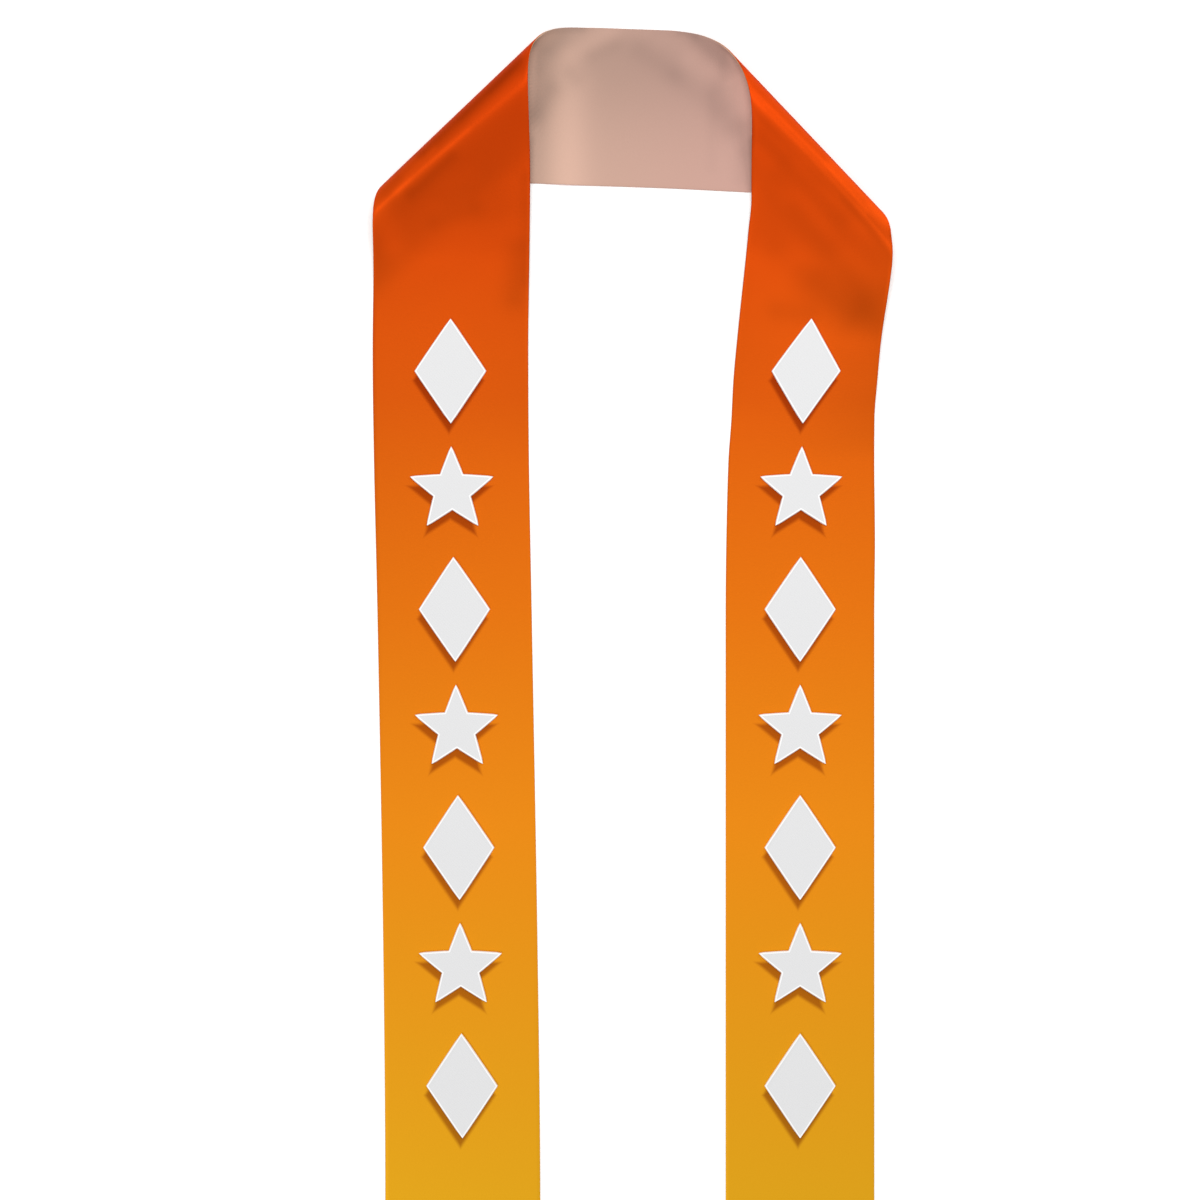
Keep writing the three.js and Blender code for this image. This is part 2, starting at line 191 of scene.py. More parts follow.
# The panels' and folds' strokes: painted highlights and painted shade.
PANEL_CREASES_AND_PAINTED_SHADING = (
    (-0.148, 0.328, -0.078, 0.394, 0.004, -0.22, 0),
    (-0.120, 0.352, -0.084, 0.386, 0.003, -0.07, 0),
    (-0.098, 0.3725, -0.083, 0.388, 0.004, -0.06, 0),
    (-0.083, 0.395, -0.0765, 0.4015, 0.0025, -0.08, 0),
    (-0.078, 0.390, -0.075, 0.384, 0.004, -0.08, 0),
    (-0.166, 0.315, -0.1515, 0.329, 0.002, -0.12, 0),
    (-0.165, 0.3015, -0.159, 0.3075, 0.0035, 0.15, 0),
    (-0.074, 0.396, -0.071, 0.362, 0.005, 0.08, 0),
    (-0.160, 0.315, -0.140, 0.334, 0.003, 0.04, 0),
    (-0.158, 0.312, -0.139, 0.3305, 0.0022, 0.12, 0),
    (-0.1535, 0.307, -0.126, 0.3335, 0.0025, 0.07, 0),
    (-0.156, 0.300, -0.127, 0.3265, 0.005, -0.14, 0),
    (-0.1125, 0.351, -0.0765, 0.383, 0.0022, 0.04, 0),
    (-0.112, 0.3465, -0.072, 0.381, 0.0022, -0.10, 0),
    (-0.182, 0.292, -0.170, 0.266, 0.010, 0.19, 0),
    (-0.162, 0.279, -0.142, 0.291, 0.010, 0.08, 0),
    (-0.130, 0.307, -0.116, 0.313, 0.009, 0.05, 0),
    (-0.139, 0.281, -0.112, 0.290, 0.007, -0.08, 0),
    (-0.176, 0.250, -0.110, 0.292, 0.012, 0.03, 0.0003),
    (-0.170, 0.226, -0.100, 0.262, 0.014, -0.03, 0),
    (-0.082, 0.228, -0.080, 0.262, 0.010, -0.14, 0),
    (-0.0735, 0.312, -0.0735, 0.240, 0.006, -0.10, 0),
    (-0.104, 0.297, -0.074, 0.316, 0.016, -0.17, 0),
    (-0.090, 0.288, -0.076, 0.292, 0.010, -0.05, 0),
    (0.080, 0.384, 0.168, 0.294, 0.004, 0.36, 0),
    (0.0865, 0.3825, 0.165, 0.300, 0.001, -0.25, 0),
    (0.1400, 0.3205, 0.1665, 0.293, 0.0035, 0.23, 0),
    (0.1735, 0.2893, 0.1815, 0.2813, 0.003, 0.40, 0),
    (0.170, 0.287, 0.184, 0.273, 0.0025, 0.20, 0),
    (0.1695, 0.2905, 0.1810, 0.2790, 0.003, 0.33, 0),
    (0.1675, 0.284, 0.1815, 0.269, 0.003, -0.14, 0),
    (0.172, 0.2925, 0.183, 0.281, 0.002, -0.10, 0),
    (0.138, 0.315, 0.162, 0.290, 0.003, -0.06, 0),
    (0.1565, 0.2945, 0.1235, 0.329, 0.0018, -0.06, 0),
    (0.146, 0.2985, 0.091, 0.3565, 0.002, 0.08, 0),
    (0.109, 0.3255, 0.091, 0.345, 0.008, -0.06, 0),
    (0.109, 0.298, 0.090, 0.318, 0.006, 0.07, 0),
    (0.1275, 0.315, 0.157, 0.284, 0.005, -0.03, 0),
    (0.112, 0.3485, 0.0845, 0.3775, 0.004, -0.07, 0),
    (0.110, 0.348, 0.096, 0.362, 0.004, 0.08, 0),
    (0.076, 0.378, 0.088, 0.362, 0.006, 0.15, 0),
    (0.092, 0.339, 0.148, 0.283, 0.008, -0.12, 0),
    (0.105, 0.314, 0.149, 0.268, 0.008, -0.07, 0),
    (0.104, 0.262, 0.116, 0.250, 0.010, -0.06, 0),
    (0.088, 0.305, 0.100, 0.262, 0.014, -0.06, 0),
    (0.150, 0.256, 0.175, 0.244, 0.010, 0.10, 0),
    (0.132, 0.239, 0.156, 0.216, 0.016, -0.25, 0),
    (0.104, 0.219, 0.124, 0.216, 0.009, -0.10, 0),
    (0.172, 0.206, 0.165, 0.222, 0.012, -0.07, 0),
)


def eased(value, low, high):
    """0 up to low, 1 from high on, and smooth between them."""
    share = np.clip((value - low) / (high - low), 0, 1)
    return share * share * (3 - 2 * share)


def table_value(table, y, column):
    """A smooth value from a table's column, level beyond its ends."""
    places = np.array([row[0] for row in table])
    values = np.array([row[PANEL_COLUMNS.index(column)] for row in table], float)
    rises = np.diff(values)
    slopes = np.zeros(len(values))
    mean_slopes = (values[2:] - values[:-2]) / (places[2:] - places[:-2])
    slopes[1:-1] = np.where(rises[:-1] * rises[1:] > 0, mean_slopes, 0)
    y = np.clip(y, places[0], places[-1])
    low = np.clip(np.searchsorted(places, y, side="right") - 1, 0, len(places) - 2)
    span = places[low + 1] - places[low]
    u = (y - places[low]) / span
    return (
        (2 * u**3 - 3 * u**2 + 1) * values[low]
        + (u**3 - 2 * u**2 + u) * span * slopes[low]
        + (3 * u**2 - 2 * u**3) * values[low + 1]
        + (u**3 - u**2) * span * slopes[low + 1]
    )


def inwards_at(flat_length, reach, excess):
    """How far in from the nose the cloth is at a flat length from it. It leaves the nose upright,
    and runs straight on once its round has taken up the excess."""
    flat = reach + excess
    fourth = 3 - 2 * flat / reach
    third = -(1 + 5 * fourth) / 2
    second = 1.5 * (1 + fourth)
    u = np.clip(flat_length / flat, 0, 1)
    rounded = reach * (second * u**2 + third * u**3 + fourth * u**4)
    return np.where(flat_length < flat, rounded, flat_length - excess)


def quarter_round(share):
    """A quarter of a circle that rises upright from 0 and is level at 1."""
    return np.sqrt(1 - (1 - np.clip(share, 0, 1)) ** 2)


def height_over(inwards, size):
    """The upper layer's height: up from the nose to the crest, then down a slope to a long foot."""
    rise = size["nose"] + (size["crest"] - size["nose"]) * quarter_round(inwards / size["crest_at"])
    down = np.clip((inwards - size["crest_at"]) / size["landing"], 0, 1)
    fall = size["crest"] * (1 - down) ** SLOPE_STEEPNESS * (1 + SLOPE_STEEPNESS * down)
    return np.where(inwards < size["crest_at"], rise, fall)


def height_under(inwards, size):
    """The lower layer's height: down from the nose until it lies on the board."""
    return size["nose"] * (1 - quarter_round(inwards / size["under"]))


def neck_end_point(shoulder):
    """Where the centre line leaves a fold and the neck band lies flat."""
    reach = shoulder["mirror"] * shoulder["excess"]["under"]
    rise = shoulder["excess"]["under"] * shoulder["cos"]
    return np.array([shoulder["x"] - reach * shoulder["sin"], shoulder["y"] + rise])


def panel_length(shoulder):
    """The flat length of the strip from a free end to the nose."""
    return shoulder["y"] + shoulder["excess"]["over"] * shoulder["cos"] - FREE_END_Y


def ready_shoulder(shoulder):
    """A shoulder's sizes with the sine and cosine of its turn."""
    angle = np.radians(shoulder["turn"])
    return {**shoulder, "sin": np.sin(angle), "cos": np.cos(angle)}


left_shoulder = ready_shoulder(SHOULDERS["left"])
right_shoulder = ready_shoulder(SHOULDERS["right"])
left_nose_at = panel_length(left_shoulder)
neck_length = np.linalg.norm(neck_end_point(left_shoulder) - neck_end_point(right_shoulder))
right_nose_at = left_nose_at + neck_length
strip_length = right_nose_at + panel_length(right_shoulder)
neck_middle_at = left_nose_at + neck_length / 2


def folded_point(shoulder, ahead, across):
    """Where the cloth lies near one shoulder. ahead is measured past the nose, towards the neck."""
    along_nose = ahead * shoulder["sin"] - across * shoulder["cos"]
    from_nose = -ahead * shoulder["cos"] - across * shoulder["sin"]
    share = eased(along_nose, -FOLD_HALF_LENGTH, FOLD_HALF_LENGTH)
    outer, neck = shoulder["outer_end"], shoulder["neck_end"]
    size = {name: outer[name] + (neck[name] - outer[name]) * share for name in outer}
    excess = shoulder["excess"]
    over = inwards_at(np.maximum(from_nose, 0), size["over"], excess["over"])
    under = inwards_at(np.maximum(-from_nose, 0), size["under"], excess["under"])
    inwards = np.where(from_nose >= 0, over, under)
    height = np.where(from_nose >= 0, height_over(over, size), height_under(under, size))
    sideways = along_nose * shoulder["cos"] + inwards * shoulder["sin"]
    x = shoulder["x"] + shoulder["mirror"] * sideways
    y = shoulder["y"] + along_nose * shoulder["sin"] - inwards * shoulder["cos"]
    return np.stack([x, y, height], -1), from_nose


def lie_on_panel(point, from_nose, table, across, half_width):
    """A panel's wander and lifts, which begin once the cloth has passed over the nose."""
    shifted = eased(from_nose, 0, BLEND["panel_shift"])
    lifted = eased(from_nose, 0, BLEND["panel_lift"])
    outer_share = (across / half_width + 1) / 2
    y = point[..., 1]
    inner_shift, outer_shift = (table_value(table, y, column) for column in ("inner", "outer"))
    lift = table_value(table, y, "inner_lift") * (1 - outer_share) ** 2
    lift = lift + table_value(table, y, "outer_lift") * outer_share**2
    lift = lift + LAYER_STEP * eased(y, STEP_FOOT_Y, STEP_TOP_Y)
    shift = inner_shift + (outer_shift - inner_shift) * outer_share
    return point + np.stack([shifted * shift, np.zeros_like(shift), lifted * lift], -1)


def creases_and_painted_shade(point, creases):
    """The painted light and shade (tone) and the crease's rise at a place, from the strokes that
    pass near it.
    """
    sums = np.zeros((2, *point.shape[:-1]))
    for crease_and_shade_strokes in creases:
        size = dict(zip(CREASE_AND_SHADE_COLUMNS, crease_and_shade_strokes))
        start = np.array([size["x1"], size["y1"]])
        run = np.array([size["x2"], size["y2"]]) - start
        share = np.clip((point[..., :2] - start) @ run / (run @ run), 0, 1)[..., None]
        off = np.linalg.norm(point[..., :2] - start - share * run, axis=-1)
        nearness = np.exp(-((off / size["width"]) ** 2))
        sums += np.stack([size["tone"] * nearness, size["rise"] * nearness])
    return sums


def half_width_at(along):
    """Half the strip's width at a flat length from the left free end."""
    to_neck = eased(along, left_nose_at - BLEND["width"], left_nose_at + BLEND["width"])
    to_right = eased(along, right_nose_at - BLEND["width"], right_nose_at + BLEND["width"])
    left, neck, right = HALF_WIDTH["left_panel"], HALF_WIDTH["neck_band"], HALF_WIDTH["right_panel"]
    up_to_neck = left + (neck - left) * to_neck
    return up_to_neck + (right - up_to_neck) * to_right


def laid_cloth(along, across):
    """Where the middle of the cloth lies at a flat point, along the strip from the left free end
    and across it, and the painted light and shade of the strokes there."""
    half_width = half_width_at(along)
    left, left_from_nose = folded_point(left_shoulder, along - left_nose_at, across)
    right, right_from_nose = folded_point(right_shoulder, right_nose_at - along, across)
    before_middle = (along < neck_middle_at)[..., None]
    left_laid = lie_on_panel(left, left_from_nose, LEFT_PANEL, across, half_width)
    right_laid = lie_on_panel(right, right_from_nose, RIGHT_PANEL, across, half_width)
    left = np.where(before_middle, left_laid, left)
    right = np.where(before_middle, right, right_laid)
    from_middle = along - neck_middle_at
    right_share = eased(from_middle, -BLEND["neck_middle"], BLEND["neck_middle"])[..., None]
    middle = left * (1 - right_share) + right * right_share
    past_nose = np.where(along < neck_middle_at, left_from_nose, right_from_nose)
    on_panel = eased(past_nose, 0, BLEND["crease_and_shade_strokes"])
    on_neck = eased(-past_nose, 0, BLEND["crease_and_shade_strokes"])
    tone, rise = on_panel * creases_and_painted_shade(middle, PANEL_CREASES_AND_PAINTED_SHADING) + on_neck * creases_and_painted_shade(middle, NECK_CREASES_AND_PAINTED_SHADING)
    middle[..., 2] += CLOTH_THICKNESS / 2 + rise
    return middle, tone


def cloth_middle(along, across):
    """Where the middle of the cloth lies at a flat point."""
    return laid_cloth(along, across)[0]


# How far to each side of a flat point the cloth is looked at, to find which way it faces.
NORMAL_STEP = 0.0005


def cloth_point(along, across, above):
    """A point off the middle of the cloth, towards its printed side when above is positive."""
    ahead, behind = (cloth_middle(along + step, across) for step in (NORMAL_STEP, -NORMAL_STEP))
    outer, inner = (cloth_middle(along, across + step) for step in (NORMAL_STEP, -NORMAL_STEP))
    normal = np.cross(ahead - behind, outer - inner)
    normal /= np.linalg.norm(normal, axis=-1, keepdims=True)
    return cloth_middle(along, across) + normal * above[..., None]


# The strip's cut: rows of cells across it, closer together on the folds, where they lean with the
# nose. The stretches are flat lengths from the nose. A ring of points goes round the cloth's
# section at each row, and the angles in EDGE_ROUND, in degrees, make its cut edges round.
CELLS_ACROSS = 44
CELL_LENGTH = {"panel": 0.005, "upper_panel": 0.003, "fold": 0.0015, "neck": 0.003}
STRETCH = {"lean_from": 0.330, "upper_panel": 0.280, "fold_on_panel": 0.062, "fold_on_neck": 0.042}
EDGE_ROUND = (60, 20, -20, -60)


def stations_along():
    """The flat lengths from the left free end at which the rows of cells meet."""
    stops = (
        (0, "panel"),
        (left_nose_at - STRETCH["upper_panel"], "upper_panel"),
        (left_nose_at - STRETCH["fold_on_panel"], "fold"),
        (left_nose_at + STRETCH["fold_on_neck"], "neck"),
        (right_nose_at - STRETCH["fold_on_neck"], "fold"),
        (right_nose_at + STRETCH["fold_on_panel"], "upper_panel"),
        (right_nose_at + STRETCH["upper_panel"], "panel"),
    )
    ends = [at for at, _ in stops[1:]] + [strip_length]
    stations = []
    for (start, kind), end in zip(stops, ends):
        count = round((end - start) / CELL_LENGTH[kind])
        stations.extend(np.linspace(start, end, count, endpoint=False))
    return np.array([*stations, strip_length])


def lean_at(along):
    """How far a row of cells leans back along the strip for each metre across it."""
    lean_from, on_neck = STRETCH["lean_from"], STRETCH["fold_on_neck"]
    grows_over = lean_from - STRETCH["fold_on_panel"]
    left_share = np.clip((along - left_nose_at + lean_from) / grows_over, 0, 1)
    right_share = np.clip((right_nose_at - along + lean_from) / grows_over, 0, 1)
    left = left_shoulder["sin"] / left_shoulder["cos"] * left_share
    right = -right_shoulder["sin"] / right_shoulder["cos"] * right_share
    over_neck = np.clip((along - left_nose_at - on_neck) / (neck_length - 2 * on_neck), 0, 1)
    return left + (right - left) * over_neck


stations = stations_along()
share_across = np.linspace(-1, 1, CELLS_ACROSS + 1)
round_edge = np.radians(EDGE_ROUND)
half_cloth = CLOTH_THICKNESS / 2
flat_side = np.zeros(CELLS_ACROSS + 1)
rim = np.ones(len(EDGE_ROUND))
rim_out, rim_above = np.cos(round_edge), np.sin(round_edge)
ring_share = np.concatenate([share_across, rim, share_across[::-1], -rim])
ring_out = np.concatenate([flat_side, rim_out, flat_side, -rim_out])
ring_above = np.concatenate([flat_side + 1, rim_above, flat_side - 1, -rim_above])
row_width = half_width_at(stations)[:, None] - half_cloth
across = row_width * ring_share + half_cloth * ring_out
along = stations[:, None] - lean_at(stations)[:, None] * across
corners = cloth_point(along, across, np.broadcast_to(half_cloth * ring_above, across.shape))

rows, ring = across.shape
place = np.arange(rows * ring).reshape(rows, ring)
following = np.roll(place, -1, axis=1)
cells = np.stack([place[:-1], place[1:], following[1:], following[:-1]], -1).reshape(-1, 4)

# The two free ends are closed across the ring: its printed side comes first, then one round edge,
# the reverse from that edge back, and the other round edge.
reverse_from = len(share_across) + len(EDGE_ROUND)
reverse_to = reverse_from + len(share_across)
end_faces = []
for row, turned in ((0, False), (rows - 1, True)):
    section = place[row].tolist()
    printed = section[: len(share_across)]
    outer_rim = section[len(share_across) : reverse_from]
    below = section[reverse_from:reverse_to][::-1]
    inner_rim = section[reverse_to:]
    closing = [[printed[j], printed[j + 1], below[j + 1], below[j]] for j in range(CELLS_ACROSS)]
    closing.append([printed[-1], *outer_rim, below[-1]])
    closing.append([below[0], *inner_rim, printed[0]])
    end_faces += [face[::-1] for face in closing] if turned else closing

strip_mesh = bpy.data.meshes.new("satin_cloth")
strip_mesh.from_pydata(corners.reshape(-1, 3).tolist(), [], cells.tolist() + end_faces)
strip_mesh.validate()
flat_places = np.stack([across, along], -1).reshape(-1, 2)
strip_uv = strip_mesh.uv_layers.new(name="flat_cloth")
loop_corner = np.zeros(len(strip_mesh.loops), np.int32)
strip_mesh.loops.foreach_get("vertex_index", loop_corner)
strip_uv.data.foreach_set("uv", flat_places[loop_corner].astype(np.float32).ravel())
strip_mesh.shade_smooth()
satin_cloth = bpy.data.objects.new("satin_cloth", strip_mesh)
bpy.context.scene.collection.objects.link(satin_cloth)

# Each face's finish, by its place in the strip's list of materials below.
PRINTED, REVERSE, CUT = 0, 1, 2
over_edge = [PRINTED, PRINTED, CUT, REVERSE, REVERSE]
sides_of_ring = [PRINTED] * CELLS_ACROSS + over_edge + [REVERSE] * CELLS_ACROSS + over_edge[::-1]
face_sides = sides_of_ring * (rows - 1) + [CUT] * len(end_faces)
strip_mesh.polygons.foreach_set("material_index", face_sides)

# Each point's painted light and shade from the strokes, for the materials to use.
painted_shade_layer = strip_mesh.attributes.new("painted_light_and_shade", "FLOAT", "POINT")
painted_shade_layer.data.foreach_set("value", laid_cloth(along, across)[1].astype(np.float32).ravel())

# The print on the strip's face: orange-red at the neck to amber at the free ends, with a soft brown
# shadow below each raised shape. The stops are shares of the way from a free end to the middle of
# the neck. The satin shines softly in its own colour.
PRINT_STOPS = (
    (0.00, (0.72, 0.36, 0.012)),
    (0.30, (0.77, 0.24, 0.009)),
    (0.47, (0.67, 0.15, 0.006)),
    (0.63, (0.55, 0.08, 0.004)),
    (0.75, (0.53, 0.055, 0.003)),
    (1.00, (0.55, 0.035, 0.002)),
)
PRINT_FINISH = {"Metallic": 0.22, "Roughness": 0.38, "Specular IOR Level": 0}
PRINT_WEAVE = {"scale": 900.0, "height": 0.0001}
WEAVE_DETAIL = 2.0
WEAVE_STRENGTH = 0.5
SHAPES_ON_EACH_PANEL = 7
FIRST_SHAPE = 0.088
SHAPE_PITCH = 0.0845
LOZENGE = {"half_width": 0.025, "half_length": 0.037}
STAR_POINTS = 5
STAR = {"tip": 0.031, "notch": 0.0136}
SHADOW = {"down": 0.0068, "left": 0.0015, "softness": 0.0017, "tint": (0.54, 0.40, 0.50, 1)}


def add_node(tree, kind, inputs, **settings):
    """A node with its settings, and its inputs by name or number: values, or others' outputs."""
    node = tree.nodes.new(kind)
    for name, value in settings.items():
        setattr(node, name, value)
    for name, value in inputs.items():
        if isinstance(value, bpy.types.NodeSocket):
            tree.links.new(value, node.inputs[name])
        else:
            node.inputs[name].default_value = value
    return node


def calculate(tree, operation, *terms):
    """The result of a math node whose terms are numbers or other nodes' outputs."""
    return add_node(tree, "ShaderNodeMath", dict(enumerate(terms)), operation=operation).outputs[0]


def with_painted_shade(tree, colour):
    """A colour made lighter or darker by the painted light and shade of the strokes."""
    tone = add_node(tree, "ShaderNodeAttribute", {}, attribute_name="painted_light_and_shade").outputs["Fac"]
    scale = calculate(tree, "ADD", tone, 1.0)
    return add_node(
        tree, "ShaderNodeVectorMath", {0: colour, "Scale": scale}, operation="SCALE"
    ).outputs["Vector"]


def flat_place(tree):
    """Where a place lies on the strip laid out flat."""
    return add_node(tree, "ShaderNodeUVMap", {}, uv_map="flat_cloth").outputs["UV"]


def fine_weave(tree, weave):
    """The normals of a fine even weave."""
    threads = add_node(
        tree,
        "ShaderNodeTexNoise",
        {"Vector": flat_place(tree), "Scale": weave["scale"], "Detail": WEAVE_DETAIL},
    ).outputs["Fac"]
    return add_node(
        tree,
        "ShaderNodeBump",
        {"Height": threads, "Distance": weave["height"], "Strength": WEAVE_STRENGTH},
    ).outputs["Normal"]


printed_satin = new_material("printed_satin", PRINT_FINISH)
tree = printed_satin.node_tree
split_place = add_node(tree, "ShaderNodeSeparateXYZ", {0: flat_place(tree)})
place_across, place_along = split_place.outputs["X"], split_place.outputs["Y"]
half_length = float(strip_length / 2)
past_middle = calculate(tree, "SUBTRACT", place_along, half_length)
from_end = calculate(tree, "SUBTRACT", half_length, calculate(tree, "ABSOLUTE", past_middle))

share_up = calculate(tree, "DIVIDE", from_end, half_length)
print_ramp = add_node(tree, "ShaderNodeValToRGB", {"Fac": share_up})
stops = print_ramp.color_ramp.elements
for position, _ in PRINT_STOPS[1:-1]:
    stops.new(position)
for stop, (position, colour) in zip(stops, PRINT_STOPS):
    stop.position = position
    stop.color = (*colour, 1)

# The printed shadows: how far a place is outside the outline of the nearest shape, once it has been
# moved back by the shadow's shift. The left panel's cloth lies with its flat sideways direction
# turned round.
on_right = calculate(tree, "SIGN", past_middle)
rightwards = calculate(tree, "MULTIPLY", place_across, on_right)
sideways = calculate(tree, "ADD", rightwards, SHADOW["left"])
upwards = calculate(tree, "SUBTRACT", from_end, FIRST_SHAPE - SHADOW["down"])
number = calculate(tree, "ROUND", calculate(tree, "DIVIDE", upwards, SHAPE_PITCH))
shape_middle = calculate(tree, "MULTIPLY", number, SHAPE_PITCH)
above_middle = calculate(tree, "SUBTRACT", upwards, shape_middle)
aside = calculate(tree, "ABSOLUTE", sideways)

lozenge_share = calculate(
    tree,
    "ADD",
    calculate(tree, "DIVIDE", aside, LOZENGE["half_width"]),
    calculate(tree, "DIVIDE", calculate(tree, "ABSOLUTE", above_middle), LOZENGE["half_length"]),
)
lozenge_reach = 1 / math.hypot(1 / LOZENGE["half_width"], 1 / LOZENGE["half_length"])
outside_lozenge = calculate(tree, "MULTIPLY_ADD", lozenge_share, lozenge_reach, -lozenge_reach)

point_to_notch = math.pi / STAR_POINTS
star_turn = calculate(
    tree, "PINGPONG", calculate(tree, "ARCTAN2", aside, above_middle), point_to_notch
)
star_radius = calculate(
    tree,
    "SQRT",
    calculate(
        tree,
        "ADD",
        calculate(tree, "POWER", aside, 2.0),
        calculate(tree, "POWER", above_middle, 2.0),
    ),
)
notch_aside = STAR["notch"] * math.sin(point_to_notch)
tip_above_notch = STAR["tip"] - STAR["notch"] * math.cos(point_to_notch)
edge_length = math.hypot(notch_aside, tip_above_notch)
edge_aside, edge_up = tip_above_notch / edge_length, notch_aside / edge_length
outside_star = calculate(
    tree,
    "ADD",
    calculate(
        tree,
        "MULTIPLY",
        calculate(tree, "MULTIPLY", star_radius, edge_aside),
        calculate(tree, "SINE", star_turn),
    ),
    calculate(
        tree,
        "MULTIPLY_ADD",
        calculate(tree, "MULTIPLY", star_radius, edge_up),
        calculate(tree, "COSINE", star_turn),
        -STAR["tip"] * edge_up,
    ),
)
is_star = calculate(tree, "FLOORED_MODULO", number, 2.0)
outside = add_node(
    tree, "ShaderNodeMix", {"Factor": is_star, "A": outside_lozenge, "B": outside_star}
).outputs["Result"]
shadow_edge = {
    "Value": outside,
    "From Min": -SHADOW["softness"],
    "From Max": SHADOW["softness"],
    "To Min": 1.0,
    "To Max": 0.0,
}
shadow = add_node(
    tree, "ShaderNodeMapRange", shadow_edge, interpolation_type="SMOOTHSTEP"
).outputs["Result"]
up_to_last = calculate(tree, "LESS_THAN", number, SHAPES_ON_EACH_PANEL - 0.5)
from_first = calculate(tree, "GREATER_THAN", number, -0.5)
shadow = calculate(tree, "MULTIPLY", shadow, calculate(tree, "MULTIPLY", from_first, up_to_last))
shaded_print = add_node(
    tree,
    "ShaderNodeMixRGB",
    {"Fac": shadow, "Color1": print_ramp.outputs["Color"], "Color2": SHADOW["tint"]},
    blend_type="MULTIPLY",
).outputs["Color"]
print_finish = tree.nodes["Principled BSDF"]
# The print with the strokes' painted light and shade over it.
tree.links.new(with_painted_shade(tree, shaded_print), print_finish.inputs["Base Color"])
tree.links.new(fine_weave(tree, PRINT_WEAVE), print_finish.inputs["Normal"])

# The strip's plain reverse: dusty beige, a little pinker towards the right.
REVERSE_LEFT = (0.530, 0.333, 0.252, 1)
REVERSE_RIGHT = (0.530, 0.305, 0.252, 1)
PINKER_FROM_X, PINKER_TO_X = -0.06, 0.08
REVERSE_FINISH = {"Roughness": 0.6, "Specular IOR Level": 0.3}
REVERSE_WEAVE = {"scale": 700.0, "height": 0.0003}

satin_reverse = new_material("satin_reverse", REVERSE_FINISH)
tree = satin_reverse.node_tree
object_place = add_node(tree, "ShaderNodeTexCoord", {}).outputs["Object"]
sideways_place = add_node(tree, "ShaderNodeSeparateXYZ", {0: object_place}).outputs["X"]
rightness = add_node(
    tree,
    "ShaderNodeMapRange",
    {"Value": sideways_place, "From Min": PINKER_FROM_X, "From Max": PINKER_TO_X},
).outputs["Result"]
beige = add_node(
    tree, "ShaderNodeMixRGB", {"Fac": rightness, "Color1": REVERSE_LEFT, "Color2": REVERSE_RIGHT}
).outputs["Color"]
reverse_finish = tree.nodes["Principled BSDF"]
# The beige with the strokes' painted light and shade over it.
tree.links.new(with_painted_shade(tree, beige), reverse_finish.inputs["Base Color"])
tree.links.new(fine_weave(tree, REVERSE_WEAVE), reverse_finish.inputs["Normal"])

# The strip's cut edges: the threads of both sides seen end on, an orange beige, darkened as painted
# shade along the edge.
EDGE_FINISH = {
    "Base Color": (0.42, 0.27, 0.13, 1),
    "Roughness": 0.85,
    "Specular IOR Level": 0.1,
}

cut_edge_with_painted_shade = new_material("cut_edge_with_painted_shade", EDGE_FINISH)
for material in (printed_satin, satin_reverse, cut_edge_with_painted_shade):
    strip_mesh.materials.append(material)

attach(satin_cloth, "root")
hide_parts("satin_strip")


# The raised shapes: seven on each panel, lozenges and stars in turn from the free end up. Each is
# cut from thick white twill with a raised border, coloured whiter than the twill as a painted
# highlight along the edge, and stitched to the printed side of the strip.
SHAPE_THICKNESS = 0.002
SHAPE_GAP = 0.0004
BORDER = {"width": 0.0008, "height": 0.0003}
CUTS_TO_BEND = 5
CORNER_ROUND = {"width": 0.00035, "steps": 2, "sharper_than": math.radians(40)}
SMOOTH_UP_TO = math.radians(30)
TWILL_FINISH = {
    "Base Color": (0.71, 0.71, 0.715, 1),
    "Roughness": 0.8,
    "Specular IOR Level": 0.2,
}
TWILL_LINES = {"Scale": 260.0, "Distortion": 1.0, "Detail": 1.0}
TWILL_RELIEF = {"Distance": 0.0002, "Strength": 0.3}
# The border's whiter colour is a painted highlight along each shape's edge.
BORDER_FINISH = {
    "Base Color": (0.93, 0.93, 0.93, 1),
    "Roughness": 0.7,
    "Specular IOR Level": 0.2,
}

white_twill = new_material("white_twill", TWILL_FINISH)
border_with_painted_highlight = new_material("border_with_painted_highlight", BORDER_FINISH)
tree = white_twill.node_tree
object_place = add_node(tree, "ShaderNodeTexCoord", {}).outputs["Object"]
twill_lines = add_node(
    tree,
    "ShaderNodeTexWave",
    {"Vector": object_place, **TWILL_LINES},
    bands_direction="DIAGONAL",
).outputs["Fac"]
twill_relief = add_node(tree, "ShaderNodeBump", {"Height": twill_lines, **TWILL_RELIEF})
tree.links.new(twill_relief.outputs["Normal"], tree.nodes["Principled BSDF"].inputs["Normal"])


